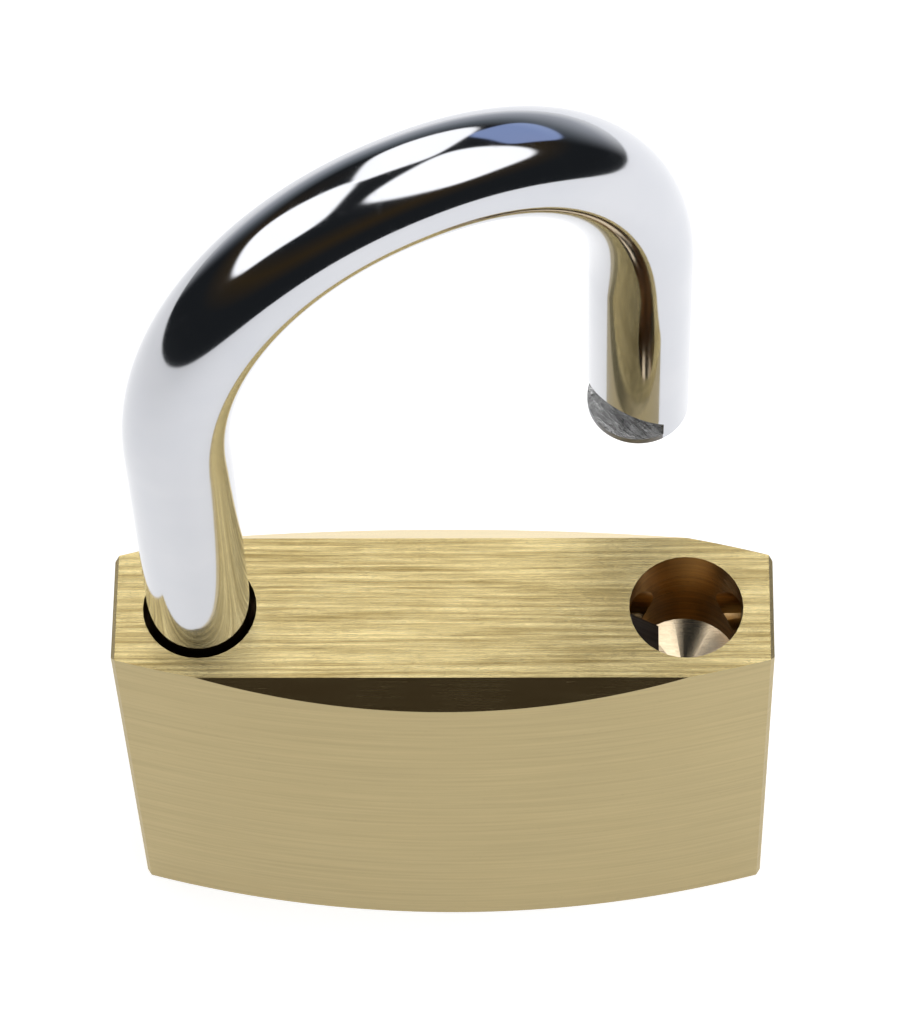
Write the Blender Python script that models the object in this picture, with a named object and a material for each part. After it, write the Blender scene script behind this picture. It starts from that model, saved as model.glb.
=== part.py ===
"""Brass padlock with a chromed shackle, stored open: lifted and swung to the back.

Metres, +Z up. The origin is the centre of the case's flat bottom face, +X runs to the toe side
(where the shackle's free leg goes in) and +Y to the back.
"""

import math

import bmesh
import bpy
import numpy as np

# Case
CASE_WIDTH = 0.0500
CASE_HEIGHT = 0.0380
END_THICKNESS = 0.0088          # across the flat end faces
FACE_CROWN = 0.00345            # how far each long face bulges at its middle
BEVEL_RUN = 0.00188             # how far the top bevels reach in at the middle
BEVEL_DROP = 0.00205            # how far they reach down there
EDGE_BREAK = 0.0003             # small flat along the sharp edges of the ends
FACE_STEPS = 48                 # flats that each curved face is made of

# Shackle
BAR_DIAMETER = 0.0078
LEG_INSET = 0.0066              # from each end of the case to its leg's axis
LEG_RISE = 0.0239               # straight part of the legs above the open case
ARCH_RISE = 0.0219
ARCH_POWER = 2.15               # 2 is an ellipse, more is squarer
ARCH_STEPS = 36
SWING = math.radians(25.4)      # how far the stored shackle is swung to the back
TOE_LIFT = 0.0037               # from the case's top to the toe's end
TOE_CLOSED_GAP = 0.0018         # under the toe when the lock is shut
BAR_CHAMFER = 0.0004
LIP_HEIGHT = 0.0010             # full bar left under the locking notch
NOTCH_MOUTH = 0.0042            # the notch's height at the bar's surface
NOTCH_ROOT = 0.0014             # and at its flat
NOTCH_DEPTH = 0.0028
NOTCH_TURN = math.radians(20)   # the notch faces this much further to the front than the heel

# Holes for the legs
LEG_CLEARANCE = 0.00082         # the holes' diameter over the bar's
TOE_HOLE_DEPTH = 0.0100
DRILL_POINT = math.radians(75)  # half the drill's point angle
DRILL_TIP = 0.00005             # radius of the drill's blunt tip
HEEL_HOLE_DEPTH = 0.0300

# Heel retention
LATCH_DEPTH = 0.0050            # from the case's top to the axes of the latch and the heel's pin
HEEL_GROOVE_DEPTH = 0.0013
HEEL_COLLAR = 0.0025            # full bar left under the groove
HEEL_PIN_DIAMETER = 0.0020
HEEL_SLOT_MARGIN = math.radians(5)

# Shackle spring
CAP_THICKNESS = 0.0015
CAP_CLEARANCE = 0.0001          # the cap's radius under the bar's
SHACKLE_SPRING_INSET = 0.0008   # the coil's radius under the cap's
SHACKLE_SPRING_WIRE = 0.0007
SHACKLE_SPRING_TURNS = 6

# Cylinder plug
PLUG_WEB = 0.00184              # brass between the heel's hole and the plug's bore
PLUG_DIAMETER = 0.0104
PLUG_RECESS = 0.0002
KEYWAY_WIDTH = 0.0020
KEYWAY_FROM = -0.0044           # along X, from the plug's axis
KEYWAY_TO = 0.0026
KEYWAY_DEPTH_LEFT = 0.0039      # plug left solid above the keyway
RUNNING_GAP = 0.00005           # between a turning or sliding piece and its bore
TOUCH_GAP = 0.0003              # between faces that would touch
PLUG_GROOVE_BELOW_TOP = 0.0021
PLUG_GROOVE_DEPTH = 0.0010
PLUG_PIN_DIAMETER = 0.0016
PLUG_PIN_PAST_AXIS = 0.0025

# Pin stacks
FIRST_PIN_HEIGHT = 0.0050
LAST_PIN_BELOW_TOP = 0.0055     # under the plug's top
KEY_PIN_LENGTHS = (0.0031, 0.0025, 0.0035, 0.0028, 0.0033)
PIN_TO_PITCH = 0.68             # a pin's diameter over the distance between pins
PIN_DROP = 0.0012               # how far a driver pin drops into the plug when locked
PIN_GAP = 0.0001
PIN_TIP = 0.0009                # length of a key pin's cone
DRIVER_LENGTH = 0.0040
PIN_SPRING_LENGTH = 0.0120
PIN_SPRING_WIRE = 0.0003
PIN_SPRING_TURNS = 8

# Latch
LATCH_DIAMETER = 0.0069
LATCH_GAP = 0.0001
LATCH_REACH = 0.0023            # how far the nose stands into the toe hole
LATCH_TAIL = 0.0020             # how far the bolt runs past the plug's axis
LATCH_WEB = 0.00129             # brass between the heel's hole and the latch's bore
NOSE_WIDTH = 0.0030
NOSE_TIP_HEIGHT = 0.0010
LATCH_SPRING_RADIUS = 0.0010
LATCH_SPRING_WIRE = 0.0003
LATCH_SPRING_TURNS = 9
LATCH_SPRING_COVER = 0.0005     # bolt left over the spring's pocket
LATCH_SPRING_POCKET = 0.0070

# Cam
CAM_INSET = 0.0004              # the cam's radius under the plug's
CAM_THICKNESS = 0.0012
CAM_ROOF = 0.00135              # brass between the cam's chamber and the latch's bore
CAM_ECCENTRICITY = 0.0019
CAM_PIN_RADIUS = 0.0011
CAM_START = math.radians(45)
CAM_CLEARANCE = 0.00025

SIDES = 36                      # facets round a full circle
SMALL_SIDES = 24                # round a pin
WIRE_SIDES = 5                  # round a fine wire
WIRE_STEPS = 8                  # per turn of a fine spring
THROUGH = 0.002                 # how far a cutter runs past the face it opens

end_x = CASE_WIDTH / 2
toe_x = end_x - LEG_INSET
heel_x = -toe_x
leg_spacing = toe_x - heel_x
crown_y = END_THICKNESS / 2 + FACE_CROWN
bar_radius = BAR_DIAMETER / 2
hole_radius = bar_radius + LEG_CLEARANCE / 2
plug_radius = PLUG_DIAMETER / 2
plug_bore_radius = plug_radius + RUNNING_GAP
plug_x = heel_x + hole_radius + PLUG_WEB + plug_bore_radius
latch_radius = LATCH_DIAMETER / 2
latch_bore_radius = latch_radius + LATCH_GAP
latch_height = CASE_HEIGHT - LATCH_DEPTH
latch_tail_x = plug_x - LATCH_TAIL
latch_bore_end_x = heel_x + hole_radius + LATCH_WEB
cam_radius = plug_radius - CAM_INSET
cam_chamber_top = latch_height - latch_bore_radius - CAM_ROOF
plug_top = cam_chamber_top - CAM_THICKNESS - 2 * TOUCH_GAP
plug_groove_height = plug_top - PLUG_GROOVE_BELOW_TOP
keyway_top = plug_top - KEYWAY_DEPTH_LEFT
pin_pitch = (plug_top - LAST_PIN_BELOW_TOP - FIRST_PIN_HEIGHT) / (len(KEY_PIN_LENGTHS) - 1)
pin_heights = [FIRST_PIN_HEIGHT + i * pin_pitch for i in range(len(KEY_PIN_LENGTHS))]
pin_radius = PIN_TO_PITCH * pin_pitch / 2
chamber_radius = pin_radius + PIN_GAP
key_pin_end = plug_x + math.sqrt(plug_radius ** 2 - pin_radius ** 2) - RUNNING_GAP
plug_chamber_start = key_pin_end - max(KEY_PIN_LENGTHS) - PIN_DROP - TOUCH_GAP
toe_floor = CASE_HEIGHT - TOE_HOLE_DEPTH
heel_floor = CASE_HEIGHT - HEEL_HOLE_DEPTH
toe_end = CASE_HEIGHT + TOE_LIFT
toe_end_shut = toe_floor + TOE_CLOSED_GAP
lift_travel = toe_end - toe_end_shut
groove_radius = bar_radius - HEEL_GROOVE_DEPTH
groove_half = HEEL_PIN_DIAMETER / 2 + TOUCH_GAP
groove_low = latch_height - groove_half
groove_high = latch_height + groove_half
heel_end = groove_low - HEEL_COLLAR
heel_pin_reach = groove_radius + TOUCH_GAP
cap_radius = bar_radius - CAP_CLEARANCE


def face_y(x):
    """Half the case's thickness at x: an arc through the end faces and the crown."""
    arc = ((CASE_WIDTH / 2) ** 2 + FACE_CROWN ** 2) / (2 * FACE_CROWN)
    return crown_y - arc + math.sqrt(arc ** 2 - x ** 2)


def material(name, colour, roughness, metallic=1.0):
    """A plain Principled material."""
    made = bpy.data.materials.new(name)
    made.use_nodes = True
    shader = made.node_tree.nodes["Principled BSDF"]
    shader.inputs["Base Color"].default_value = (*colour, 1.0)
    shader.inputs["Roughness"].default_value = roughness
    shader.inputs["Metallic"].default_value = metallic
    return made


def add_object(name, points, faces, finish=None, origin=(0, 0, 0), cutter=False, smooth=True):
    """Makes a mesh object with its origin at the given place; points are in world space."""
    mesh = bpy.data.meshes.new(name)
    mesh.from_pydata((np.asarray(points, float) - np.asarray(origin)).tolist(), [], faces)
    shape = bmesh.new()
    shape.from_mesh(mesh)
    bmesh.ops.recalc_face_normals(shape, faces=shape.faces)
    shape.to_mesh(mesh)
    shape.free()
    if smooth:
        mesh.shade_smooth()
        mesh.set_sharp_from_angle(angle=math.radians(30))
    made = bpy.data.objects.new(name, mesh)
    made.location = origin
    bpy.context.scene.collection.objects.link(made)
    if finish:
        mesh.materials.append(finish)
    if cutter:
        made.hide_render = True
        made.display_type = "WIRE"
    return made


def rings_to_faces(rings, around, closed_path=False):
    """Quads between successive rings of points, with end caps unless the path closes."""
    faces = []
    for i in range(rings if closed_path else rings - 1):
        a, b = i * around, (i + 1) % rings * around
        faces += [(a + j, a + (j + 1) % around, b + (j + 1) % around, b + j) for j in range(around)]
    if not closed_path:
        faces += [tuple(range(around)), tuple(range((rings - 1) * around, rings * around))]
    return faces


def turned(name, profile, centre=(0, 0, 0), axis="Z", sides=SIDES, ring=False, **more):
    """A solid of revolution. profile lists (radius, distance along the axis); a ring's closes on itself."""
    angle = np.arange(sides) * 2 * math.pi / sides
    rings = [np.stack([r * np.cos(angle), r * np.sin(angle), np.full(sides, h)], 1) for r, h in profile]
    points = np.concatenate(rings)
    if axis == "X":
        points = points[:, [2, 0, 1]]
    if axis == "Y":
        points = points[:, [1, 2, 0]]
    return add_object(name, points + centre, rings_to_faces(len(profile), sides, closed_path=ring), **more)


def prism(name, outline, low, high, axis="Z", **more):
    """An outline pushed along an axis from low to high: XY for Z, YZ for X, and XZ for Y."""
    flat = np.asarray(outline, float)
    ends = [np.column_stack([flat, np.full(len(flat), level)]) for level in (low, high)]
    points = np.concatenate(ends)
    points = points[:, {"Z": [0, 1, 2], "X": [2, 0, 1], "Y": [0, 2, 1]}[axis]]
    return add_object(name, points, rings_to_faces(2, len(flat)), smooth=False, **more)


def box(name, low, high, **more):
    """A rectangular block between two corners."""
    outline = [(low[0], low[1]), (high[0], low[1]), (high[0], high[1]), (low[0], high[1])]
    return prism(name, outline, low[2], high[2], **more)


def ring_sector(name, inner, outer, start, end, low, high, steps=24, **more):
    """A block that fills the space between two radii and two angles round the Z axis."""
    angle = np.linspace(start, end, steps + 1)
    arc = np.stack([np.cos(angle), np.sin(angle)], 1)
    return prism(name, np.concatenate([inner * arc, outer * arc[::-1]]), low, high, **more)


def cut(target, *cutters, operation="DIFFERENCE"):
    """Booleans each cutter with the target, in order."""
    for cutter in cutters:
        step = target.modifiers.new(cutter.name, "BOOLEAN")
        step.object = cutter
        step.operation = operation
        step.solver = "EXACT"


def coil(name, radius, wire, turns, low, high, centre=(0, 0, 0), axis="Z", finish=None, sides=6, steps=12):
    """An open compression spring: a round wire on a helix, between low and high along the axis."""
    count = turns * steps + 1
    turn = np.linspace(0, turns * 2 * math.pi, count)
    height = np.linspace(low + wire / 2, high - wire / 2, count)
    path = np.stack([radius * np.cos(turn), radius * np.sin(turn), height], 1)
    along = np.gradient(path, axis=0)
    along /= np.linalg.norm(along, axis=1)[:, None]
    outward = np.stack([np.cos(turn), np.sin(turn), np.zeros(count)], 1)
    upward = np.cross(along, outward)
    around = np.arange(sides) * 2 * math.pi / sides
    points = (path[:, None] + wire / 2 * (np.cos(around)[None, :, None] * outward[:, None]
                                          + np.sin(around)[None, :, None] * upward[:, None]))
    points = points.reshape(-1, 3)
    if axis == "X":
        points = points[:, [2, 0, 1]]
    return add_object(name, points + centre, rings_to_faces(count, sides), finish=finish)


def build_case(brass):
    """The brass case: a lens-shaped block, bevelled along its top, with every bore in it."""
    x = np.linspace(-end_x + EDGE_BREAK, end_x - EDGE_BREAK, FACE_STEPS + 1)
    y = np.array([face_y(v) for v in x])
    end_y = END_THICKNESS / 2 - EDGE_BREAK
    outline = np.concatenate([
        np.stack([x, -y], 1), [(end_x, -end_y), (end_x, end_y)],
        np.stack([x[::-1], y[::-1]], 1), [(-end_x, end_y), (-end_x, -end_y)],
    ])
    case = prism("case_body", outline, 0, CASE_HEIGHT, finish=brass)
    top_half = crown_y - BEVEL_RUN
    wide, low = crown_y + BEVEL_RUN, CASE_HEIGHT - 2 * BEVEL_DROP
    roof = [(-top_half, CASE_HEIGHT), (-wide, low), (-wide, -THROUGH),
            (wide, -THROUGH), (wide, low), (top_half, CASE_HEIGHT)]
    ends = [(-end_x, EDGE_BREAK), (-end_x + EDGE_BREAK, 0), (end_x - EDGE_BREAK, 0), (end_x, EDGE_BREAK),
            (end_x, CASE_HEIGHT - EDGE_BREAK), (end_x - EDGE_BREAK, CASE_HEIGHT),
            (-end_x + EDGE_BREAK, CASE_HEIGHT), (-end_x, CASE_HEIGHT - EDGE_BREAK)]
    cut(case, prism("case_bevels", roof, -CASE_WIDTH, CASE_WIDTH, axis="X", cutter=True),
        prism("case_ends", ends, -CASE_WIDTH, CASE_WIDTH, axis="Y", cutter=True), operation="INTERSECT")

    point = (hole_radius - DRILL_TIP) / math.tan(DRILL_POINT)
    crank_bore = CAM_ECCENTRICITY + CAM_PIN_RADIUS + CAM_CLEARANCE
    heel_pin_bore = HEEL_PIN_DIAMETER / 2 + RUNNING_GAP
    plug_pin_bore = PLUG_PIN_DIAMETER / 2 + RUNNING_GAP
    cutters = [
        turned("toe_hole", [(hole_radius, CASE_HEIGHT + THROUGH), (hole_radius, toe_floor),
                            (DRILL_TIP, toe_floor - point)], (toe_x, 0, 0), cutter=True),
        turned("heel_hole", [(hole_radius, CASE_HEIGHT + THROUGH), (hole_radius, heel_floor)],
               (heel_x, 0, 0), cutter=True),
        turned("plug_bore", [(plug_bore_radius, cam_chamber_top), (plug_bore_radius, -THROUGH)],
               (plug_x, 0, 0), sides=2 * SIDES, cutter=True),
        turned("crank_bore", [(crank_bore, latch_height + TOUCH_GAP),
                              (crank_bore, cam_chamber_top - THROUGH)], (plug_x, 0, 0), cutter=True),
        turned("latch_bore", [(latch_bore_radius, latch_bore_end_x), (latch_bore_radius, end_x + THROUGH)],
               (0, 0, latch_height), axis="X", cutter=True),
        turned("heel_pin_bore", [(heel_pin_bore, hole_radius - THROUGH), (heel_pin_bore, crown_y + THROUGH)],
               (heel_x, 0, latch_height), axis="Y", sides=SMALL_SIDES, cutter=True),
        turned("plug_pin_bore", [(plug_pin_bore, -PLUG_PIN_PAST_AXIS - TOUCH_GAP),
                                 (plug_pin_bore, crown_y + THROUGH)],
               (plug_x + plug_radius, 0, plug_groove_height), axis="Y", sides=SMALL_SIDES, cutter=True),
    ]
    for number, height in enumerate(pin_heights, 1):
        chamber = [(chamber_radius, plug_x + plug_radius / 2), (chamber_radius, end_x + THROUGH)]
        cutters.append(turned(f"case_chamber_{number}", chamber, (0, 0, height), axis="X", sides=SMALL_SIDES,
                              cutter=True))
    cut(case, *cutters)


def arch_path():
    """Centre line of the stored shackle in its own plane, heel leg at x = 0, and its slope, as (x, z)."""
    angle = np.linspace(0, math.pi, ARCH_STEPS + 1)
    power = 2 / ARCH_POWER
    across = np.sign(np.cos(angle)) * np.abs(np.cos(angle)) ** power
    x = leg_spacing / 2 * (1 - across)
    z = CASE_HEIGHT + LEG_RISE + ARCH_RISE * np.abs(np.sin(angle)) ** power
    arch = np.stack([x, z], 1)
    chord = np.linalg.norm(np.diff(arch, axis=0), axis=1)
    run = np.concatenate([[0], np.cumsum(chord)])
    even = np.linspace(0, run[-1], len(arch))
    arch = np.stack([np.interp(even, run, arch[:, 0]), np.interp(even, run, arch[:, 1])], 1)
    heel = [(0, heel_end), (0, heel_end + BAR_CHAMFER)]
    toe = [(leg_spacing, toe_end + BAR_CHAMFER), (leg_spacing, toe_end)]
    path = np.concatenate([heel, arch, toe])
    slope = np.gradient(arch, axis=0)
    slope[0], slope[-1] = (0, 1), (0, -1)
    slope = np.concatenate([[(0, 1)] * 2, slope, [(0, -1)] * 2])
    return path, slope / np.linalg.norm(slope, axis=1)[:, None]


def build_shackle(chrome):
    """The bent round bar, with its locking notch, its retaining groove and the slot above that."""
    path, slope = arch_path()
    radius = np.full(len(path), bar_radius)
    radius[[0, -1]] -= BAR_CHAMFER
    around = np.arange(SIDES) * 2 * math.pi / SIDES
    side = np.stack([slope[:, 1], np.zeros(len(path)), -slope[:, 0]], 1)
    spine = np.stack([path[:, 0], np.zeros(len(path)), path[:, 1]], 1)
    points = spine[:, None] + radius[:, None, None] * (
        np.cos(around)[None, :, None] * side[:, None] + np.sin(around)[None, :, None] * np.array([0, 1, 0]))
    shackle = add_object("shackle", points.reshape(-1, 3), rings_to_faces(len(path), SIDES), finish=chrome)
    reach = 2 * bar_radius
    groove = turned("heel_groove", [(groove_radius, groove_low), (reach, groove_low), (reach, groove_high),
                                    (groove_radius, groove_high)], ring=True, cutter=True)
    pin_half = math.asin(HEEL_PIN_DIAMETER / 2 / heel_pin_reach) + HEEL_SLOT_MARGIN
    slot = ring_sector("heel_slot", groove_radius, reach, math.pi / 2 - SWING - pin_half,
                       math.pi / 2 + pin_half, groove_high - TOUCH_GAP, groove_high + lift_travel,
                       cutter=True)
    ledge = toe_end + LIP_HEIGHT
    flat_x = bar_radius - NOTCH_DEPTH
    slope = (NOTCH_MOUTH - NOTCH_ROOT) / NOTCH_DEPTH
    profile = [(flat_x, ledge), (reach, ledge), (reach, ledge + NOTCH_ROOT + slope * (reach - flat_x)),
               (flat_x, ledge + NOTCH_ROOT)]
    notch = prism("toe_notch", profile, -reach, reach, axis="Y", cutter=True)
    notch.location = (leg_spacing, 0, 0)
    notch.rotation_euler = (0, 0, math.pi + NOTCH_TURN)
    for cutter in (groove, slot, notch):
        cutter.parent = shackle
    cut(shackle, groove, slot, notch)
    shackle.location = (heel_x, 0, 0)
    shackle.rotation_euler = (0, 0, SWING)


def build_heel_parts(steel, spring_steel):
    """What holds and lifts the heel leg: retaining pin, thrust cap and spring."""
    retainer_radius = HEEL_PIN_DIAMETER / 2
    turned("heel_retaining_pin", [(retainer_radius, heel_pin_reach), (retainer_radius, face_y(heel_x))],
           (heel_x, 0, latch_height), axis="Y", sides=SMALL_SIDES, finish=steel)
    cap_top = heel_end - TOUCH_GAP
    turned("spring_cap", [(cap_radius, cap_top - CAP_THICKNESS), (cap_radius, cap_top)],
           origin=(heel_x, 0, 0), centre=(heel_x, 0, 0), finish=steel)
    coil("shackle_spring", cap_radius - SHACKLE_SPRING_INSET, SHACKLE_SPRING_WIRE, SHACKLE_SPRING_TURNS,
         heel_floor + TOUCH_GAP, cap_top - CAP_THICKNESS - TOUCH_GAP, (heel_x, 0, 0), finish=spring_steel)


def build_cylinder(brass, steel):
    """The turning plug with its keyway, its cam, and the pin that keeps it in the case."""
    groove_half_height = PLUG_PIN_DIAMETER / 2 + TOUCH_GAP
    waist = plug_radius - PLUG_GROOVE_DEPTH - TOUCH_GAP
    plug = turned("cylinder_plug", [
        (plug_radius, PLUG_RECESS), (plug_radius, plug_groove_height - groove_half_height),
        (waist, plug_groove_height - groove_half_height), (waist, plug_groove_height + groove_half_height),
        (plug_radius, plug_groove_height + groove_half_height), (plug_radius, plug_top),
    ], (plug_x, 0, 0), sides=2 * SIDES, origin=(plug_x, 0, 0), finish=brass)
    cutters = [box("keyway", (plug_x + KEYWAY_FROM, -KEYWAY_WIDTH / 2, -THROUGH),
                   (plug_x + KEYWAY_TO, KEYWAY_WIDTH / 2, keyway_top), cutter=True)]
    for number, height in enumerate(pin_heights, 1):
        chamber = [(chamber_radius, plug_chamber_start), (chamber_radius, plug_x + plug_radius + THROUGH)]
        cutters.append(turned(f"plug_chamber_{number}", chamber, (0, 0, height), axis="X", sides=SMALL_SIDES,
                              cutter=True))
    cut(plug, *cutters)
    low = plug_top + TOUCH_GAP
    cam = turned("cam", [(cam_radius, low), (cam_radius, low + CAM_THICKNESS)],
                 (plug_x, 0, 0), origin=(plug_x, 0, 0), finish=steel)
    crank_x = plug_x + CAM_ECCENTRICITY * math.cos(CAM_START)
    crank_y = CAM_ECCENTRICITY * math.sin(CAM_START)
    crank = turned("cam_pin", [(CAM_PIN_RADIUS, low + CAM_THICKNESS / 2), (CAM_PIN_RADIUS, latch_height)],
                   (crank_x, crank_y, 0), sides=SMALL_SIDES, cutter=True)
    cut(cam, crank, operation="UNION")
    pin_x = plug_x + plug_radius
    turned("cylinder_retaining_pin", [(PLUG_PIN_DIAMETER / 2, -PLUG_PIN_PAST_AXIS),
                                      (PLUG_PIN_DIAMETER / 2, face_y(pin_x))],
           (pin_x, 0, plug_groove_height), axis="Y", sides=SMALL_SIDES, finish=steel)


def build_pin_stacks(brass, steel, spring_steel):
    """Five stacks: key pin in the plug, then driver pin, spring and closing plug in the case."""
    driver_start = plug_x + plug_bore_radius + RUNNING_GAP
    spring_start = driver_start + DRIVER_LENGTH + TOUCH_GAP
    closing_start = spring_start + PIN_SPRING_LENGTH + TOUCH_GAP
    closing_radius = chamber_radius - RUNNING_GAP
    for number, (height, length) in enumerate(zip(pin_heights, KEY_PIN_LENGTHS), 1):
        tip = key_pin_end - length
        key_pin = [(pin_radius / 3, tip), (pin_radius, tip + PIN_TIP), (pin_radius, key_pin_end)]
        driver = [(pin_radius, driver_start), (pin_radius, driver_start + DRIVER_LENGTH)]
        turned(f"key_pin_{number}", key_pin, (0, 0, height), axis="X", sides=SMALL_SIDES,
               origin=(plug_x, 0, height), finish=brass)
        turned(f"driver_pin_{number}", driver, (0, 0, height), axis="X", sides=SMALL_SIDES,
               origin=(driver_start, 0, height), finish=steel)
        coil(f"pin_spring_{number}", pin_radius - PIN_SPRING_WIRE, PIN_SPRING_WIRE, PIN_SPRING_TURNS,
             spring_start, spring_start + PIN_SPRING_LENGTH, (0, 0, height), axis="X", finish=spring_steel,
             sides=WIRE_SIDES, steps=WIRE_STEPS)
        turned(f"chamber_plug_{number}", [(closing_radius, closing_start), (closing_radius, end_x)],
               (0, 0, height), axis="X", sides=SMALL_SIDES, finish=brass)


def build_latch(brass, steel, spring_steel):
    """The round latch bolt with its ramped nose, its spring, and the plug that closes its bore."""
    wall_x = toe_x - math.sqrt(hole_radius ** 2 - (NOSE_WIDTH / 2) ** 2)
    shoulder_x = toe_x - hole_radius - TOUCH_GAP
    tip_x = toe_x - hole_radius + LATCH_REACH
    bolt = turned("latch_bolt", [(latch_radius, latch_tail_x), (latch_radius, shoulder_x)],
                  (0, 0, latch_height), axis="X", origin=(shoulder_x, 0, latch_height), finish=steel)
    under = toe_end_shut + LIP_HEIGHT + TOUCH_GAP
    tip_top = under + NOSE_TIP_HEIGHT
    slope = (NOTCH_MOUTH - NOTCH_ROOT) / NOTCH_DEPTH
    wall_top = tip_top + slope * math.cos(NOTCH_TURN) * (tip_x - wall_x)
    ramp = [(shoulder_x - THROUGH, under), (tip_x, under), (tip_x, tip_top), (wall_x, wall_top),
            (shoulder_x - THROUGH, wall_top)]
    nose = prism("latch_nose", ramp, -NOSE_WIDTH / 2, NOSE_WIDTH / 2, axis="Y", cutter=True)
    crank_x = plug_x + CAM_ECCENTRICITY * math.cos(CAM_START)
    half = CAM_PIN_RADIUS + CAM_CLEARANCE
    slot = box("crank_slot", (crank_x - half, -2 * latch_radius, latch_height - 2 * latch_radius),
               (crank_x + half, 2 * latch_radius, latch_height + TOUCH_GAP), cutter=True)
    pocket_radius = LATCH_SPRING_RADIUS + LATCH_SPRING_WIRE / 2 + TOUCH_GAP / 2
    spring_z = latch_height + latch_radius - LATCH_SPRING_COVER - pocket_radius
    pocket_end = latch_tail_x + LATCH_SPRING_POCKET
    pocket = turned("spring_pocket", [(pocket_radius, latch_tail_x - THROUGH), (pocket_radius, pocket_end)],
                    (0, 0, spring_z), axis="X", sides=SMALL_SIDES, cutter=True)
    cut(bolt, nose, operation="UNION")
    cut(bolt, slot, pocket)
    coil("latch_spring", LATCH_SPRING_RADIUS, LATCH_SPRING_WIRE, LATCH_SPRING_TURNS,
         latch_bore_end_x + TOUCH_GAP, pocket_end - TOUCH_GAP, (0, 0, spring_z), axis="X",
         finish=spring_steel, sides=WIRE_SIDES, steps=WIRE_STEPS)
    turned("latch_bore_plug", [(latch_bore_radius - RUNNING_GAP, toe_x + hole_radius + RUNNING_GAP),
                               (latch_bore_radius - RUNNING_GAP, end_x)],
           (0, 0, latch_height), axis="X", finish=brass)


for old in list(bpy.data.objects):
    bpy.data.objects.remove(old)

brass_finish = material("brass", (0.66, 0.52, 0.25), 0.34)
chrome_finish = material("chrome", (0.86, 0.86, 0.88), 0.06)
steel_finish = material("steel", (0.42, 0.41, 0.40), 0.38)
spring_finish = material("spring_steel", (0.50, 0.50, 0.51), 0.28)

build_case(brass_finish)
build_shackle(chrome_finish)
build_heel_parts(steel_finish, spring_finish)
build_cylinder(brass_finish, steel_finish)
build_pin_stacks(brass_finish, steel_finish, spring_finish)
build_latch(brass_finish, steel_finish, spring_finish)
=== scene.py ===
"""Looks of the open brass padlock: satin brass case, mirror chrome shackle, and the works inside."""
import math

import bmesh
import bpy
import numpy as np
from mathutils import Matrix, Vector


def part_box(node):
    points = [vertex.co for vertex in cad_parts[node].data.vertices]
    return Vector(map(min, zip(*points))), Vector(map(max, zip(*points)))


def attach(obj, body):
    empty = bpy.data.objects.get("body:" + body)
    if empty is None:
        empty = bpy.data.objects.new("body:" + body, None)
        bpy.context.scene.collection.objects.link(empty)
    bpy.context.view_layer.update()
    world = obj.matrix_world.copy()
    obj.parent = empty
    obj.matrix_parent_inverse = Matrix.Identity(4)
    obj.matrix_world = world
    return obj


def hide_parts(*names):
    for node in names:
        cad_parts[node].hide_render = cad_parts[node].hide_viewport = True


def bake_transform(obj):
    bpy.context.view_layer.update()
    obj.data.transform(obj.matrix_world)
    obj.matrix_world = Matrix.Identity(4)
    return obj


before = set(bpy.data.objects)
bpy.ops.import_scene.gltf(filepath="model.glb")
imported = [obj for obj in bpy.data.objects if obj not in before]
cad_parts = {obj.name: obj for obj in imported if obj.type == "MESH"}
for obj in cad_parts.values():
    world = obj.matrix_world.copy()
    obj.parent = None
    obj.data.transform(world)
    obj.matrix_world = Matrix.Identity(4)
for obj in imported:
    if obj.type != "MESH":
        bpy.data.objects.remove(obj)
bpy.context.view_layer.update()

# ---------------------------------------------------------------------------------------------
# The view, the table and the light. The lock stands on a white table between three large white
# softboxes and a blue one, in a dark room with a grey sweep behind it.
# ---------------------------------------------------------------------------------------------
case_low, case_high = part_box("case_body")
case_top = case_high.z

view_azimuth, view_elevation, view_roll = math.radians(2.76), math.radians(60.81), math.radians(-2.51)
view_distance = 0.387
view_target = Vector((0.00126, 0.00825, case_top))
toward_eye = Vector((math.sin(view_azimuth) * math.cos(view_elevation),
                     -math.cos(view_azimuth) * math.cos(view_elevation), math.sin(view_elevation)))
level = Vector((math.cos(view_azimuth), math.sin(view_azimuth), 0))
upright = level.cross(-toward_eye)
eye_right = math.cos(view_roll) * level + math.sin(view_roll) * upright
eye_up = -math.sin(view_roll) * level + math.cos(view_roll) * upright
eye = bpy.data.cameras.new("eye")
eye.lens, eye.sensor_width, eye.clip_start = 178.1, 36.0, 0.01
camera = bpy.data.objects.new("camera", eye)
place = Matrix((eye_right, eye_up, toward_eye)).transposed().to_4x4()
place.translation = view_target + toward_eye * view_distance
camera.matrix_world = place
bpy.context.scene.collection.objects.link(camera)
bpy.context.scene.camera = camera
bpy.context.scene.view_settings.view_transform = "Standard"


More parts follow.
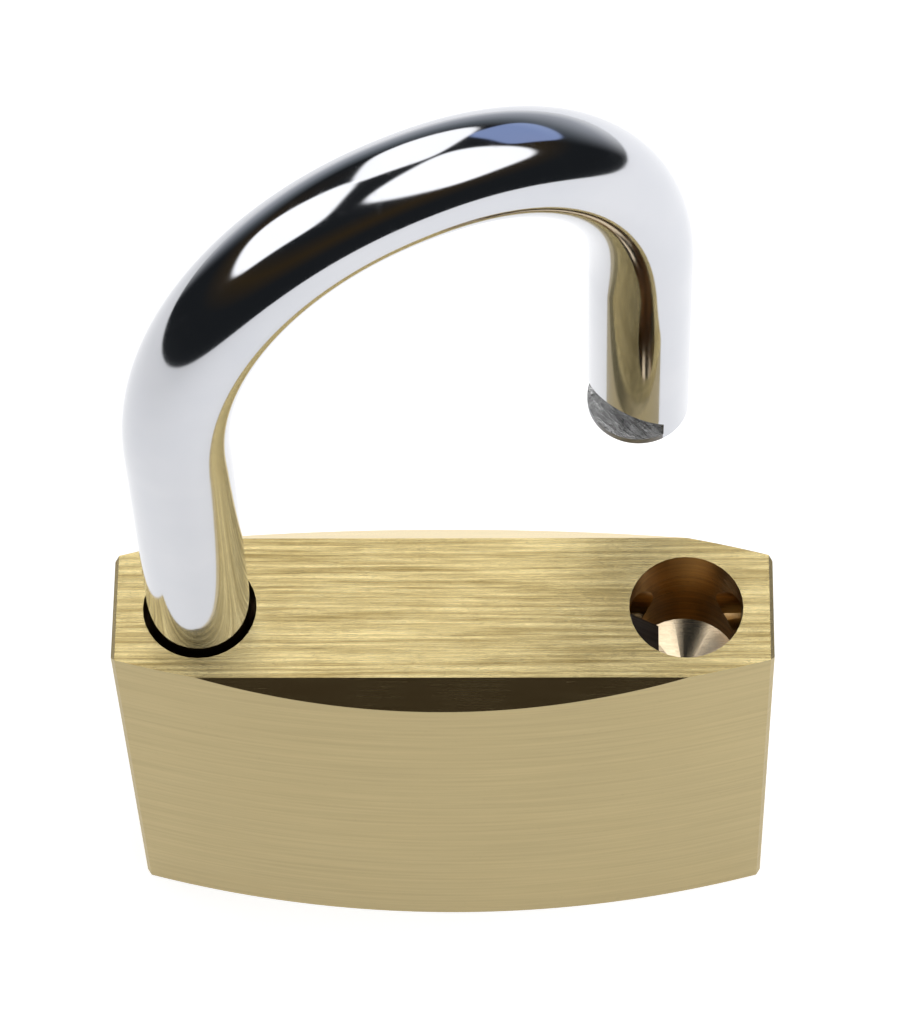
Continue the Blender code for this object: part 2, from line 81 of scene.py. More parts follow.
def softbox(name, from_zenith, azimuth, across, along, radiance, colour=(1, 1, 1), distance=0.7, turn=0):
    """A rectangular light facing the lock. Angles in degrees; azimuth 0 is behind the lock, 90 its right.

    Its cloth is bright up to rounded corners, where |2u - 1|^4 + |2v - 1|^4 nears 1, and fades out there.
    """
    down, round_ = math.radians(from_zenith), math.radians(azimuth)
    outward = Vector((math.sin(down) * math.sin(round_), math.sin(down) * math.cos(round_), math.cos(down)))
    sideways = Vector((math.cos(round_), -math.sin(round_), 0))
    sideways.rotate(Matrix.Rotation(math.radians(turn), 3, outward))
    lamp = bpy.data.lights.new(name, "AREA")
    lamp.shape = "RECTANGLE"
    lamp.size = 2 * distance * math.tan(math.radians(across / 2))
    lamp.size_y = 2 * distance * math.tan(math.radians(along / 2))
    lamp.energy = radiance * math.pi * lamp.size * lamp.size_y
    lamp.color = colour
    lamp.use_nodes = True
    tree = lamp.node_tree
    spot = tree.nodes.new("ShaderNodeNewGeometry")
    centred = tree.nodes.new("ShaderNodeVectorMath")
    centred.operation = "MULTIPLY_ADD"
    centred.inputs[1].default_value, centred.inputs[2].default_value = (2, 2, 0), (-1, -1, 0)
    tree.links.new(spot.outputs["Parametric"], centred.inputs[0])
    sides = tree.nodes.new("ShaderNodeSeparateXYZ")
    tree.links.new(centred.outputs["Vector"], sides.inputs[0])
    total = tree.nodes.new("ShaderNodeMath")
    for slot, side in enumerate("XY"):
        fourth = tree.nodes.new("ShaderNodeMath")
        fourth.operation = "POWER"
        fourth.inputs[1].default_value = 4
        tree.links.new(sides.outputs[side], fourth.inputs[0])
        tree.links.new(fourth.outputs[0], total.inputs[slot])
    fade = tree.nodes.new("ShaderNodeMapRange")
    fade.interpolation_type = "SMOOTHSTEP"
    for socket, number in (("From Min", 0.55), ("From Max", 1.05), ("To Min", 1.0), ("To Max", 0.0)):
        fade.inputs[socket].default_value = number
    tree.links.new(total.outputs[0], fade.inputs["Value"])
    tree.links.new(fade.outputs["Result"], tree.nodes["Emission"].inputs["Strength"])
    made = bpy.data.objects.new(name, lamp)
    turned = Matrix((sideways, outward.cross(sideways), outward)).transposed().to_4x4()
    turned.translation = Vector((0, 0, 0.07)) + outward * distance
    made.matrix_world = turned
    bpy.context.scene.collection.objects.link(made)


softbox("softbox_left", from_zenith=36, azimuth=-90, across=56, along=52,
        radiance=1.75)
softbox("softbox_right", from_zenith=35, azimuth=102, across=54, along=58,
        radiance=1.75, turn=-8)
softbox("softbox_back", from_zenith=42, azimuth=-1, across=34, along=52,
        radiance=1.7)
softbox("softbox_sky", from_zenith=60, azimuth=42, across=40, along=30,
        radiance=0.72, colour=(0.44, 0.58, 1.0))


def surround():
    """The world: a dark room with a warm band, a grey sweep behind, and plain white straight to the eye."""
    world = bpy.data.worlds.new("studio")
    bpy.context.scene.world = world
    world.use_nodes = True
    tree = world.node_tree
    tree.nodes.clear()
    link = tree.links.new
    where = tree.nodes.new("ShaderNodeTexCoord")
    parts = tree.nodes.new("ShaderNodeSeparateXYZ")
    link(where.outputs["Generated"], parts.inputs[0])
    behind = tree.nodes.new("ShaderNodeMapRange")
    behind.interpolation_type = "SMOOTHSTEP"
    behind.inputs["From Min"].default_value, behind.inputs["From Max"].default_value = 0.35, 0.85
    link(parts.outputs["Y"], behind.inputs["Value"])
    sweep = tree.nodes.new("ShaderNodeValToRGB")
    ramp = sweep.color_ramp
    ramp.elements[0].position, ramp.elements[0].color = 0.38, (0.98, 0.99, 1.0, 1)
    ramp.elements[1].position, ramp.elements[1].color = 0.70, (0.016, 0.018, 0.020, 1)
    ramp.elements.new(0.46).color = (0.52, 0.54, 0.58, 1)
    ramp.elements.new(0.60).color = (0.17, 0.19, 0.21, 1)
    height = tree.nodes.new("ShaderNodeMapRange")
    height.inputs["From Min"].default_value, height.inputs["From Max"].default_value = -1.0, 1.0
    link(parts.outputs["Z"], height.inputs["Value"])
    link(height.outputs["Result"], sweep.inputs["Fac"])
    room_ramp = tree.nodes.new("ShaderNodeValToRGB")
    ramp = room_ramp.color_ramp
    ramp.elements[0].position, ramp.elements[0].color = 0.60, (0.016, 0.018, 0.020, 1)
    ramp.elements[1].position, ramp.elements[1].color = 0.88, (0.016, 0.018, 0.020, 1)
    ramp.elements.new(0.74).color = (0.042, 0.028, 0.013, 1)
    link(height.outputs["Result"], room_ramp.inputs["Fac"])
    shade = tree.nodes.new("ShaderNodeMix")
    shade.data_type = "RGBA"
    link(room_ramp.outputs["Color"], shade.inputs[6])
    link(behind.outputs["Result"], shade.inputs["Factor"])
    link(sweep.outputs["Color"], shade.inputs[7])
    room = tree.nodes.new("ShaderNodeBackground")
    link(shade.outputs[2], room.inputs["Color"])
    plain = tree.nodes.new("ShaderNodeBackground")
    plain.inputs["Color"].default_value = (1, 1, 1, 1)
    path = tree.nodes.new("ShaderNodeLightPath")
    pick = tree.nodes.new("ShaderNodeMixShader")
    link(path.outputs["Is Camera Ray"], pick.inputs["Fac"])
    link(room.outputs[0], pick.inputs[1])
    link(plain.outputs[0], pick.inputs[2])
    out = tree.nodes.new("ShaderNodeOutputWorld")
    link(pick.outputs[0], out.inputs["Surface"])


surround()


def table_top():
    """A round white table, as rings of points about the lock; its rim drops away. It glows, more weakly to
    the left: painted light, with its left side painted darker.
    """
    radius = np.array([0.02, 0.2, 0.30, 0.32, 0.325])
    drop = np.array([0, 0, 0, -0.002, -0.012])
    angle = np.linspace(0, 2 * math.pi, 97)[:-1]
    points = np.stack([np.outer(radius, np.cos(angle)), np.outer(radius, np.sin(angle)),
                       np.repeat(drop[:, None], len(angle), 1)], 2).reshape(-1, 3)
    count = len(angle)
    ring, step = np.meshgrid(np.arange(len(radius) - 1), np.arange(count), indexing="ij")
    faces = np.stack([ring * count + step, (ring + 1) * count + step,
                      (ring + 1) * count + (step + 1) % count, ring * count + (step + 1) % count], 2)
    mesh = bpy.data.meshes.new("table")
    mesh.from_pydata(points.tolist(), [], faces.reshape(-1, 4).tolist() + [list(range(count))])
    table = bpy.data.objects.new("table", mesh)
    table.location = (0, 0, case_low.z)
    bpy.context.scene.collection.objects.link(table)
    white = bpy.data.materials.new("table_white")
    white.use_nodes = True
    shader = white.node_tree.nodes["Principled BSDF"]
    shader.inputs["Base Color"].default_value = (0.60, 0.60, 0.60, 1)
    shader.inputs["Roughness"].default_value = 0.7
    shader.inputs["Emission Color"].default_value = (1, 1, 1, 1)
    parts = white.node_tree.nodes.new("ShaderNodeSeparateXYZ")
    where = white.node_tree.nodes.new("ShaderNodeTexCoord")
    white.node_tree.links.new(where.outputs["Object"], parts.inputs[0])
    # Painted light: the table glows, and the glow fades towards the left, painting that side darker.
    painted_light_falloff = white.node_tree.nodes.new("ShaderNodeMapRange")
    for socket, number in (("From Min", -0.16), ("From Max", 0.08), ("To Min", 0.56), ("To Max", 0.82)):
        painted_light_falloff.inputs[socket].default_value = number
    white.node_tree.links.new(parts.outputs["X"], painted_light_falloff.inputs["Value"])
    white.node_tree.links.new(painted_light_falloff.outputs["Result"], shader.inputs["Emission Strength"])
    mesh.materials.append(white)
    return table


table_top()

# ---------------------------------------------------------------------------------------------
# Finishes shared by several pieces: lines left by a brushing belt or a lathe, and the slow
# drift of tone and the fine dirt that handling leaves on bare metal.
# ---------------------------------------------------------------------------------------------


def new_group(name, inputs, outputs):
    """A shader group with the named sockets; returns it with its input and output nodes."""
    group = bpy.data.node_groups.new(name, "ShaderNodeTree")
    for socket, kind, value in inputs:
        made = group.interface.new_socket(socket, in_out="INPUT", socket_type=kind)
        if value is not None:
            made.default_value = value
    for socket, kind in outputs:
        group.interface.new_socket(socket, in_out="OUTPUT", socket_type=kind)
    return group, group.nodes.new("NodeGroupInput"), group.nodes.new("NodeGroupOutput")


def noise(tree, vector, scale, detail=4.0, roughness=0.6, stretch=None):
    """A noise texture on a vector socket, which may be stretched by a Mapping node first."""
    if stretch is not None:
        mapping = tree.nodes.new("ShaderNodeMapping")
        mapping.inputs["Scale"].default_value = stretch
        tree.links.new(vector, mapping.inputs["Vector"])
        vector = mapping.outputs["Vector"]
    texture = tree.nodes.new("ShaderNodeTexNoise")
    texture.inputs["Scale"].default_value = scale
    texture.inputs["Detail"].default_value = detail
    texture.inputs["Roughness"].default_value = roughness
    tree.links.new(vector, texture.inputs["Vector"])
    return texture.outputs["Fac"]


def spread_of(tree, value, low, high, to_low=0.0, to_high=1.0):
    """Maps a value from one range to another, clamped."""
    node = tree.nodes.new("ShaderNodeMapRange")
    for socket, number in (("From Min", low), ("From Max", high), ("To Min", to_low), ("To Max", to_high)):
        node.inputs[socket].default_value = number
    tree.links.new(value, node.inputs["Value"])
    return node.outputs["Result"]


def combined(tree, first, second, operation="ADD"):
    """One Math node, adding unless told otherwise; either side may be a socket or a number."""
    node = tree.nodes.new("ShaderNodeMath")
    node.operation = operation
    for slot, side in enumerate((first, second)):
        if isinstance(side, (int, float)):
            node.inputs[slot].default_value = side
        else:
            tree.links.new(side, node.inputs[slot])
    return node.outputs[0]


def blend_colour(tree, factor, first, second):
    """Mixes two colours, each a socket or an (r, g, b)."""
    node = tree.nodes.new("ShaderNodeMix")
    node.data_type = "RGBA"
    tree.links.new(factor, node.inputs["Factor"])
    for socket, side in ((node.inputs[6], first), (node.inputs[7], second)):
        if isinstance(side, tuple):
            socket.default_value = (*side, 1)
        else:
            tree.links.new(side, socket)
    return node.outputs[2]


def make_brushing():
    """Lines along U: short fine scratches plus longer, broader strokes, both as a height and a tone."""
    group, given, result = new_group(
        "brushing", [("Vector", "NodeSocketVector", None)],
        [("Fine", "NodeSocketFloat"), ("Broad", "NodeSocketFloat"), ("Height", "NodeSocketFloat")])
    fine = noise(group, given.outputs["Vector"], 1.0, detail=5.0, roughness=0.65, stretch=(150, 14000, 1))
    broad = noise(group, given.outputs["Vector"], 1.0, detail=5.0, roughness=0.65, stretch=(60, 2600, 1))
    fine = spread_of(group, fine, 0.34, 0.66)
    broad = spread_of(group, broad, 0.37, 0.63)
    height = combined(group, combined(group, fine, 0.6, "MULTIPLY"), combined(group, broad, 0.4, "MULTIPLY"))
    group.links.new(fine, result.inputs["Fine"])
    group.links.new(broad, result.inputs["Broad"])
    group.links.new(height, result.inputs["Height"])
    return group


def make_handling():
    """Slow drift of tone over some millimetres, and specks of dirt some tenths of a millimetre across."""
    group, given, result = new_group(
        "handling", [("Vector", "NodeSocketVector", None)],
        [("Drift", "NodeSocketFloat"), ("Specks", "NodeSocketFloat")])
    slow = noise(group, given.outputs["Vector"], 130.0, detail=3.0, roughness=0.55)
    drift = spread_of(group, slow, 0.30, 0.70)
    grains = noise(group, given.outputs["Vector"], 2600.0, detail=2.0, roughness=0.5)
    specks = spread_of(group, grains, 0.66, 0.78)
    group.links.new(drift, result.inputs["Drift"])
    group.links.new(specks, result.inputs["Specks"])
    return group


brushing = make_brushing()
handling = make_handling()


def metal(name, light, dark, roughness, swing, bump, lines="uv", anisotropy=0.0, specks=0.25, strokes=None,
          depth=0.00002):
    """A bare metal: two tones mixed by its brush lines and its drift, roughness that follows them.

    The roughness runs from the given one up by 1.5 times the swing. The bump is the strength of the lines'
    relief, and the depth is how deep they are, in metres.
    """
    made = bpy.data.materials.new(name)
    made.use_nodes = True
    tree = made.node_tree
    shader = tree.nodes["Principled BSDF"]
    where = tree.nodes.new("ShaderNodeTexCoord")
    brushed = tree.nodes.new("ShaderNodeGroup")
    brushed.node_tree = brushing
    along = where.outputs["UV" if lines == "uv" else "Object"]
    if strokes is not None:
        mapping = tree.nodes.new("ShaderNodeMapping")
        mapping.inputs["Scale"].default_value = strokes
        tree.links.new(along, mapping.inputs["Vector"])
        along = mapping.outputs["Vector"]
    tree.links.new(along, brushed.inputs["Vector"])
    handled = tree.nodes.new("ShaderNodeGroup")
    handled.node_tree = handling
    tree.links.new(where.outputs["Object"], handled.inputs["Vector"])
    tone = combined(tree, combined(tree, brushed.outputs["Broad"], 0.55, "MULTIPLY"),
                    combined(tree, brushed.outputs["Fine"], 0.25, "MULTIPLY"))
    tone = combined(tree, tone, combined(tree, handled.outputs["Drift"], 0.20, "MULTIPLY"))
    colour = blend_colour(tree, tone, dark, light)
    grime = tuple(0.35 * value for value in dark)
    colour = blend_colour(tree, combined(tree, handled.outputs["Specks"], specks, "MULTIPLY"), colour, grime)
    tree.links.new(colour, shader.inputs["Base Color"])
    rough = combined(tree, combined(tree, brushed.outputs["Fine"], swing, "MULTIPLY"),
                     combined(tree, handled.outputs["Drift"], swing / 2, "MULTIPLY"))
    tree.links.new(combined(tree, rough, roughness), shader.inputs["Roughness"])
    shader.inputs["Metallic"].default_value = 1.0
    if bump:
        relief = tree.nodes.new("ShaderNodeBump")
        relief.inputs["Strength"].default_value = bump
        relief.inputs["Distance"].default_value = depth
        tree.links.new(brushed.outputs["Height"], relief.inputs["Height"])
        tree.links.new(relief.outputs["Normal"], shader.inputs["Normal"])
    if anisotropy:
        shader.inputs["Anisotropic"].default_value = anisotropy
        shader.inputs["Anisotropic Rotation"].default_value = 0.25
        tangent = tree.nodes.new("ShaderNodeTangent")
        tangent.direction_type = "UV_MAP"
        tangent.uv_map = "lines"
        tree.links.new(tangent.outputs["Tangent"], shader.inputs["Tangent"])
    return made


def vertex_points(mesh):
    """The mesh's vertices, one row of x, y, z each."""
    points = np.zeros(len(mesh.vertices) * 3)
    mesh.vertices.foreach_get("co", points)
    return points.reshape(-1, 3)


def corner_points(mesh):
    """The place of every face corner, in the order of the mesh's loops."""
    corners = np.zeros(len(mesh.loops), int)
    mesh.loops.foreach_get("vertex_index", corners)
    return vertex_points(mesh)[corners]


sharp_angle = math.radians(32)
end_face, level_face = 0.9, 0.3


def finished(node, body, edge, finishes, sort_faces=None, edge_finish=0):
    """A machined piece: the node's triangles welded, flat seams dissolved, sharp edges broken by a bevel.

    UV is in metres. On a face that is level along X, U is X and V runs up or down the face's slope; on the
    others U is Y or X and V is Z.
    """
    name = node + "_finished"
    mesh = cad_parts[node].data.copy()
    mesh.name = name
    shape = bmesh.new()
    shape.from_mesh(mesh)
    bmesh.ops.remove_doubles(shape, verts=shape.verts, dist=1e-6)
    bmesh.ops.dissolve_limit(shape, angle_limit=math.radians(0.15), verts=shape.verts, edges=shape.edges)
    shape.to_mesh(mesh)
    shape.free()
    mesh.materials.clear()
    for finish in finishes:
        mesh.materials.append(finish)
    count = len(mesh.polygons)
    centre, normal = np.zeros(count * 3), np.zeros(count * 3)
    mesh.polygons.foreach_get("center", centre)
    mesh.polygons.foreach_get("normal", normal)
    centre, normal = centre.reshape(-1, 3), normal.reshape(-1, 3)
    kinds = np.zeros(count, int) if sort_faces is None else sort_faces(mesh, centre, normal)
    mesh.polygons.foreach_set("material_index", kinds)
    totals = np.zeros(count, int)
    mesh.polygons.foreach_get("loop_total", totals)
    facing = np.repeat(normal, totals, axis=0)
    at = corner_points(mesh)
    tilt = np.maximum(np.hypot(facing[:, 1], facing[:, 2]), 1e-6)
    slope = (at[:, 1] * facing[:, 2] - at[:, 2] * facing[:, 1]) / tilt
    across = np.where(np.abs(facing[:, 0]) > end_face, at[:, 1], at[:, 0])
    up = np.where(np.abs(facing[:, 0]) < level_face, slope, at[:, 2])
    mesh.uv_layers.new(name="lines")
    layer = mesh.uv_layers["lines"]
    layer.uv.foreach_set("vector", np.stack([across, up], 1).ravel())
    mesh.shade_smooth()
    mesh.set_sharp_from_angle(angle=sharp_angle)
    piece = bpy.data.objects.new(name, mesh)
    bpy.context.scene.collection.objects.link(piece)
    if edge:
        bevel = piece.modifiers.new("edge_break", "BEVEL")
        bevel.width = edge
        bevel.segments = 2
        bevel.limit_method = "ANGLE"
        bevel.angle_limit = sharp_angle
        bevel.use_clamp_overlap = True
        bevel.material = edge_finish
        bevel.harden_normals = False
    weighted = piece.modifiers.new("flat_shading", "WEIGHTED_NORMAL")
    weighted.keep_sharp = True
    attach(piece, body)
    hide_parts(node)
    return piece


# ---------------------------------------------------------------------------------------------
# The case: one block of solid brass, sawn to length, milled to its lens shape, belt brushed on
# top with coarse lines and on the faces with fine ones, then drilled.
# ---------------------------------------------------------------------------------------------
top_brass = metal("brass_top_brushed", (1.0, 0.83, 0.42), (0.28, 0.19, 0.054),
                  roughness=0.17, swing=0.09, bump=0.8, anisotropy=1.0)
face_brass = metal("brass_face_satin", (0.52, 0.418, 0.208), (0.41, 0.328, 0.158),
                   roughness=0.34, swing=0.06, bump=0.15, anisotropy=0.6, specks=0.08)
bevel_brass = metal("brass_bevel_milled", (0.80, 0.65, 0.35), (0.72, 0.57, 0.29),
                    roughness=0.20, swing=0.06, bump=0.06, specks=0.0)
# Painted shade: the bores' brass is darker and redder than the outer brass, standing in for the shade inside
# the holes.
bore_brass_painted_shade = metal("brass_drilled_painted_shade", (0.56, 0.34, 0.115), (0.26, 0.15, 0.045),
                   roughness=0.23, swing=0.12, bump=0.25)
cone_brass = metal("brass_drill_point", (0.74, 0.61, 0.43), (0.60, 0.48, 0.32),
                   roughness=0.08, swing=0.05, bump=0.10)
# Painted highlight: the broken edges get a lighter brass than the faces beside them.
edge_brass_highlight = metal("brass_edge_painted_highlight", (0.84, 0.70, 0.40), (0.62, 0.49, 0.24),
                   roughness=0.28, swing=0.10, bump=0.0, lines="object")


def case_faces(mesh, centre, normal):
    """0 top, 1 sides, 2 bores (darker brass: painted shade), 4 drill points, 5 bevels. An outer face has all
    of the case behind it.
    """
    beyond = (vertex_points(mesh) @ normal.T - (centre * normal).sum(1)).max(0)
    inner = np.where(normal[:, 2] > 0.5, 4, 2)
    outer = np.where(normal[:, 2] > 0.99, 0, np.where(np.abs(normal[:, 2]) > 0.05, 5, 1))
    return np.where(beyond > 1e-5, inner, outer)


finished("case_body", "lock_body", 0.00012,
         [top_brass, face_brass, bore_brass_painted_shade, edge_brass_highlight, cone_brass, bevel_brass], case_faces, edge_finish=3)

# ---------------------------------------------------------------------------------------------
# The shackle: round hardened steel bar, bent to an arch, its toe milled with a notch for the
# latch and its heel turned and slotted for the retaining pin, then plated with bright chrome.
# ---------------------------------------------------------------------------------------------
bar_radius = 0.00389
leg_spacing = 0.0368
heel = np.array([-leg_spacing / 2, 0, 0])
swing = math.radians(25.4)
leg_rise, arch_rise, arch_power = 0.0239, 0.0219, 2.15
heel_end, toe_end = 0.0292, case_top + 0.0037
bar_chamfer, past_chamfer = 0.0004, 0.001


def swung(points):
    """Points given with the heel's axis at the origin, turned by the stored swing and put in place."""
    turn = np.array([[math.cos(swing), -math.sin(swing), 0],
                     [math.sin(swing), math.cos(swing), 0],
                     [0, 0, 1]])
    return points @ turn.T + heel


def bar_surface(columns=128):
    """The bent bar as a grid: rows along its centre line, columns round it.

    The centre line runs up the heel leg, over a superellipse (|x/a|^p + |z/b|^p = 1) and down the toe leg. A
    point is the centre line plus radius * (cos a * side + sin a * back).
    """
    spring_line = case_top + leg_rise
    heel_straight = np.linspace(heel_end + past_chamfer, spring_line, 30)
    heel_rows = np.concatenate([[heel_end, heel_end + bar_chamfer], heel_straight])
    angle = np.linspace(0, math.pi, 4001)
    power = 2 / arch_power
    across = np.sign(np.cos(angle)) * np.abs(np.cos(angle)) ** power
    rise = arch_rise * np.abs(np.sin(angle)) ** power
    arch = np.stack([leg_spacing / 2 * (1 - across), spring_line + rise], 1)
    run = np.concatenate([[0], np.cumsum(np.linalg.norm(np.diff(arch, axis=0), axis=1))])
    even = np.linspace(0, run[-1], 145)[1:-1]
    arch = np.stack([np.interp(even, run, arch[:, 0]), np.interp(even, run, arch[:, 1])], 1)
    toe_straight = np.linspace(spring_line, toe_end + past_chamfer, 20)
    toe_rows = np.concatenate([toe_straight, [toe_end + bar_chamfer, toe_end]])
    path = np.concatenate([np.stack([0 * heel_rows, heel_rows], 1), arch,
                           np.stack([leg_spacing + 0 * toe_rows, toe_rows], 1)])
    slope = np.gradient(path, axis=0)
    slope[:len(heel_rows)], slope[-len(toe_rows):] = (0, 1), (0, -1)
    slope /= np.linalg.norm(slope, axis=1)[:, None]
    around = np.arange(columns) * 2 * math.pi / columns
    radius = np.full(len(path), bar_radius)
    radius[[0, -1]] -= bar_chamfer
    side = np.stack([slope[:, 1], 0 * slope[:, 0], -slope[:, 0]], 1)
    spine = np.stack([path[:, 0], 0 * path[:, 0], path[:, 1]], 1)
    ring = np.cos(around)[None, :, None] * side[:, None] + np.sin(around)[None, :, None] * np.array([0, 1, 0])
    return spine[:, None] + radius[:, None, None] * ring


def grid_object(name, grid, finish, closed=False):
    """A mesh from a grid whose columns close into rings; its rows close too, or end in flat caps."""
    rows, columns = grid.shape[:2]
    row, column = np.meshgrid(np.arange(rows if closed else rows - 1), np.arange(columns), indexing="ij")
    after, below = (column + 1) % columns, (row + 1) % rows
    faces = np.stack([row * columns + column, row * columns + after,
                      below * columns + after, below * columns + column], 2).reshape(-1, 4).tolist()
    if not closed:
        faces += [list(range(columns)), list(range((rows - 1) * columns, rows * columns))]
    mesh = bpy.data.meshes.new(name)
    mesh.from_pydata(grid.reshape(-1, 3).tolist(), [], faces)
    shape = bmesh.new()
    shape.from_mesh(mesh)
    bmesh.ops.recalc_face_normals(shape, faces=shape.faces)
    shape.to_mesh(mesh)
    shape.free()
    mesh.materials.append(finish)
    made = bpy.data.objects.new(name, mesh)
    bpy.context.scene.collection.objects.link(made)
    return made


def arc(radius, start, end, height, steps=24):
    """Points of an arc about the heel's axis, at one height."""
    angle = np.linspace(start, end, steps)
    return np.stack([radius * np.cos(angle), radius * np.sin(angle), 0 * angle + height], 1)


def chrome_finish():
    """Bright plating: near-mirror, with faint haze, wiping scratches and a slow ripple from polishing."""
    made = bpy.data.materials.new("chrome_plating")
    made.use_nodes = True
    tree = made.node_tree
    shader = tree.nodes["Principled BSDF"]
    shader.inputs["Metallic"].default_value = 1.0
    where = tree.nodes.new("ShaderNodeTexCoord")
    handled = tree.nodes.new("ShaderNodeGroup")
    handled.node_tree = handling
    tree.links.new(where.outputs["Object"], handled.inputs["Vector"])
    colour = blend_colour(tree, handled.outputs["Drift"], (0.55, 0.562, 0.595), (0.585, 0.592, 0.62))
    tree.links.new(colour, shader.inputs["Base Color"])
    scratches = noise(tree, where.outputs["Object"], 900.0, detail=3.0, roughness=0.6, stretch=(1, 1, 0.12))
    scratches = spread_of(tree, scratches, 0.58, 0.80, 0.07, 0.14)
    rough = combined(tree, scratches, combined(tree, handled.outputs["Drift"], 0.02, "MULTIPLY"))
    tree.links.new(rough, shader.inputs["Roughness"])
    relief = tree.nodes.new("ShaderNodeBump")
    relief.inputs["Strength"].default_value = 0.10
    relief.inputs["Distance"].default_value = 0.00004
    ripple = noise(tree, where.outputs["Object"], 170.0, detail=2.0, roughness=0.5)
    tree.links.new(ripple, relief.inputs["Height"])
    tree.links.new(relief.outputs["Normal"], shader.inputs["Normal"])
    return made


# The milling strokes are real marks, but their white and near-black tones are painted glints and painted dark
# reflections.
milled_steel_painted_glints = metal("steel_milled_painted_glints", (1.0, 1.0, 1.0), (0.02, 0.02, 0.022),
                     roughness=0.10, swing=0.12, bump=1.0, strokes=(2.6, 0.12, 1), depth=0.0003)
lip_steel = metal("steel_lip_ground", (0.34, 0.34, 0.36), (0.20, 0.20, 0.21),
                  roughness=0.34, swing=0.15, bump=0.5)
shackle_bar = grid_object("shackle_bar", swung(bar_surface()), chrome_finish())

groove_radius, clear_of_bar = 0.0026, 0.0078
groove_low, groove_high, lift = 0.0317, 0.0343, 0.0119
groove = grid_object("groove_cut", swung(np.stack([arc(r, 0, 2 * math.pi, h, 97)[:-1] for r, h in (
    (groove_radius, groove_low), (clear_of_bar, groove_low), (clear_of_bar, groove_high),
    (groove_radius, groove_high))])), milled_steel_painted_glints, closed=True)
slot_from, slot_to = math.radians(39.4), math.radians(115.2)
slot = grid_object("slot_cut", swung(np.stack([np.concatenate([
    arc(groove_radius, slot_from, slot_to, h), arc(clear_of_bar, slot_to, slot_from, h)])
    for h in (groove_high - 0.0003, groove_high + lift)])), milled_steel_painted_glints)

ledge, notch_root, notch_mouth, notch_depth = toe_end + 0.0010, 0.0014, 0.0042, 0.0028
notch_flat = bar_radius - notch_depth
notch_turn = math.radians(200)
notch_out = np.array([math.cos(notch_turn), math.sin(notch_turn), 0])
notch_along = np.array([-notch_out[1], notch_out[0], 0])
far_top = ledge + notch_root + (notch_mouth - notch_root) / notch_depth * (clear_of_bar - notch_flat)
notch_profile = np.array([notch_flat * notch_out + (0, 0, ledge), clear_of_bar * notch_out + (0, 0, ledge),
                          clear_of_bar * notch_out + (0, 0, far_top),
                          notch_flat * notch_out + (0, 0, ledge + notch_root)])
toe = np.array([leg_spacing, 0, 0])
notch_ends = np.stack([notch_profile + toe - clear_of_bar * notch_along,
                       notch_profile + toe + clear_of_bar * notch_along])
notch = grid_object("notch_cut", swung(notch_ends), milled_steel_painted_glints)
for cutter in (groove, slot, notch):
    step = shackle_bar.modifiers.new(cutter.name, "BOOLEAN")
    step.object = cutter
    step.solver = "EXACT"
    step.operation = "DIFFERENCE"
    step.material_mode = "TRANSFER"
bpy.context.view_layer.update()
whole = bpy.data.meshes.new_from_object(shackle_bar.evaluated_get(bpy.context.evaluated_depsgraph_get()))
shackle_bar.modifiers.clear()
shackle_bar.data = whole
for cutter in (groove, slot, notch):
    bpy.data.objects.remove(cutter)

at = corner_points(whole)
out_turn = notch_turn + swing
outward = np.array([math.cos(out_turn), math.sin(out_turn), 0])
across_cut = at @ outward + at[:, 2]
along_cut = at @ np.array([-math.sin(out_turn), math.cos(out_turn), 0])
whole.uv_layers.new(name="lines")
whole.uv_layers["lines"].uv.foreach_set("vector", np.stack([along_cut, across_cut], 1).ravel())

whole.materials.append(lip_steel)
centre, finish = np.zeros(len(whole.polygons) * 3), np.zeros(len(whole.polygons), int)
whole.polygons.foreach_get("center", centre)
whole.polygons.foreach_get("material_index", finish)
centre = centre.reshape(-1, 3)
beyond_flat = (centre - swung(toe)) @ outward > notch_flat
under_ledge = (centre[:, 2] < ledge) & (centre[:, 2] > toe_end + 1e-5) & (centre[:, 0] > 0)
finish[beyond_flat & under_ledge] = len(whole.materials) - 1
whole.polygons.foreach_set("material_index", finish)
whole.shade_smooth()
whole.set_sharp_from_angle(angle=math.radians(30))
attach(shackle_bar, "shackle")
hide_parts("shackle")

# ---------------------------------------------------------------------------------------------
# The works: turned brass plug, key pins and closing plugs, steel latch, cam, caps and pins.
# Each is cut from bar, so its edges are just broken.
# ---------------------------------------------------------------------------------------------
turned_brass = metal("brass_turned", (0.74, 0.60, 0.31), (0.52, 0.40, 0.17),
                     roughness=0.24, swing=0.12, bump=0.3, lines="object")
hard_steel = metal("steel_hardened", (0.30, 0.27, 0.25), (0.12, 0.10, 0.09),
                   roughness=0.30, swing=0.15, bump=0.4, lines="object")
bright_steel = metal("steel_ground", (0.56, 0.56, 0.57), (0.38, 0.38, 0.40),
                     roughness=0.20, swing=0.12, bump=0.3, lines="object")
spring_steel = metal("spring_wire", (0.50, 0.50, 0.52), (0.26, 0.26, 0.28),
                     roughness=0.22, swing=0.12, bump=0.2, lines="object")

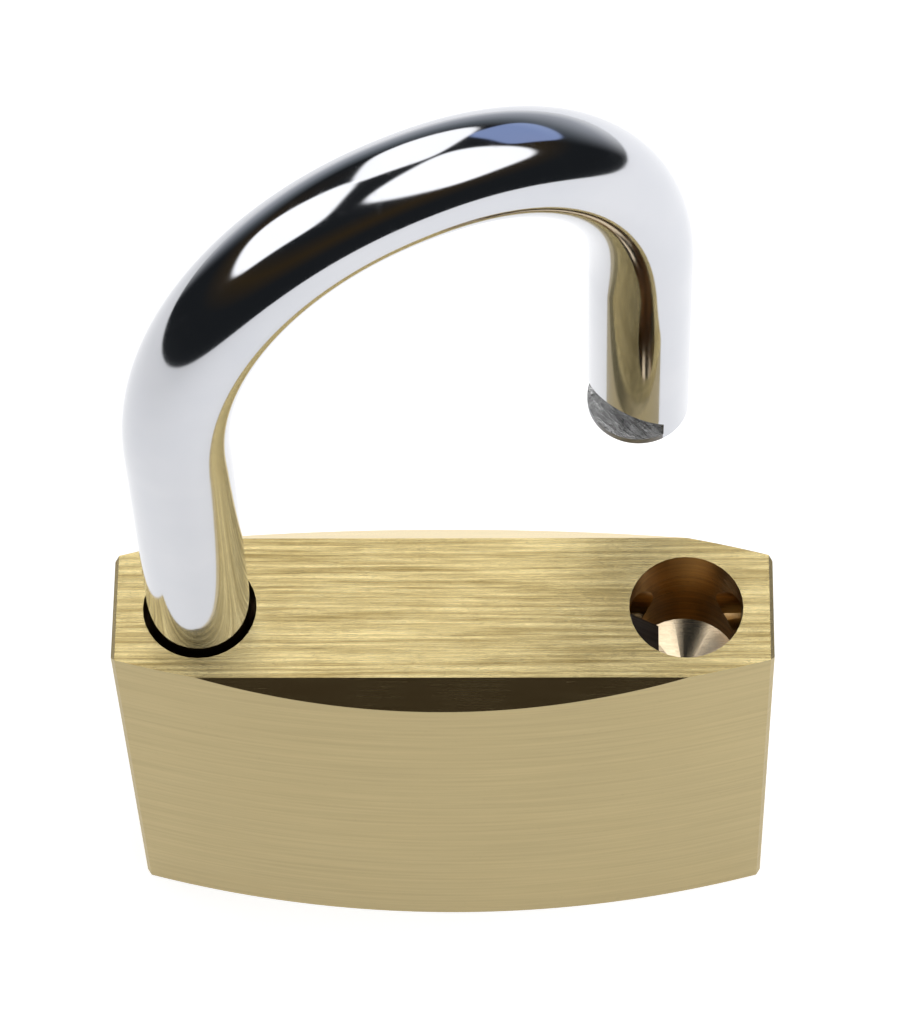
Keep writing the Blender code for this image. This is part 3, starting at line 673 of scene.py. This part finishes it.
finished("cylinder_plug", "plug", 0.00012, [turned_brass])
finished("latch_bolt", "latch", 0.00010, [hard_steel])
finished("latch_bore_plug", "lock_body", 0.00010, [face_brass])
finished("cam", "plug", 0.00010, [hard_steel])
finished("spring_cap", "lift_cap", 0.00010, [bright_steel])
finished("heel_retaining_pin", "lock_body", 0.00010, [bright_steel])
finished("cylinder_retaining_pin", "lock_body", 0.00010, [bright_steel])
for number in range(1, 6):
    finished(f"key_pin_{number}", f"key_pin_{number}", 0.00008, [turned_brass])
    finished(f"driver_pin_{number}", f"driver_{number}", 0.00012, [bright_steel])
    finished(f"chamber_plug_{number}", "lock_body", 0.00006, [face_brass])


def spring(node, axis, turns, wire):
    """A compression spring with closed end turns, in the place and size of the CAD spring.

    Turn t of the helix stands at the height that runs at one wire a turn over the first and the last turn
    and evenly between them.
    """
    low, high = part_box(node)
    side = (axis + 1) % 3
    radius = (high[side] - low[side] - wire) / 2
    length = high[axis] - low[axis]
    turn = np.linspace(0, turns, turns * 30 + 1)
    height = np.interp(turn, [0, 1, turns - 1, turns],
                       [wire / 2, 1.5 * wire, length - 1.5 * wire, length - wire / 2])
    angle = 2 * math.pi * turn
    outward = np.stack([np.cos(angle), np.sin(angle), 0 * angle], 1)
    path = radius * outward + np.stack([0 * turn, 0 * turn, height - length / 2], 1)
    along = np.gradient(path, axis=0)
    along /= np.linalg.norm(along, axis=1)[:, None]
    upward = np.cross(along, outward)
    round_wire = 2 * math.pi * np.arange(10) / 10
    grid = (path[:, None] + wire / 2 * (np.cos(round_wire)[None, :, None] * outward[:, None]
                                        + np.sin(round_wire)[None, :, None] * upward[:, None]))
    grid = np.roll(grid, axis - 2, axis=2) + np.array((low + high) / 2)
    made = grid_object(node + "_wire", grid, spring_steel)
    made.data.shade_smooth()
    made.data.set_sharp_from_angle(angle=math.radians(50))
    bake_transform(made)
    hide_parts(node)


spring("shackle_spring", 2, 6, 0.0007)
spring("latch_spring", 0, 9, 0.0003)
for number in range(1, 6):
    spring(f"pin_spring_{number}", 0, 8, 0.0003)
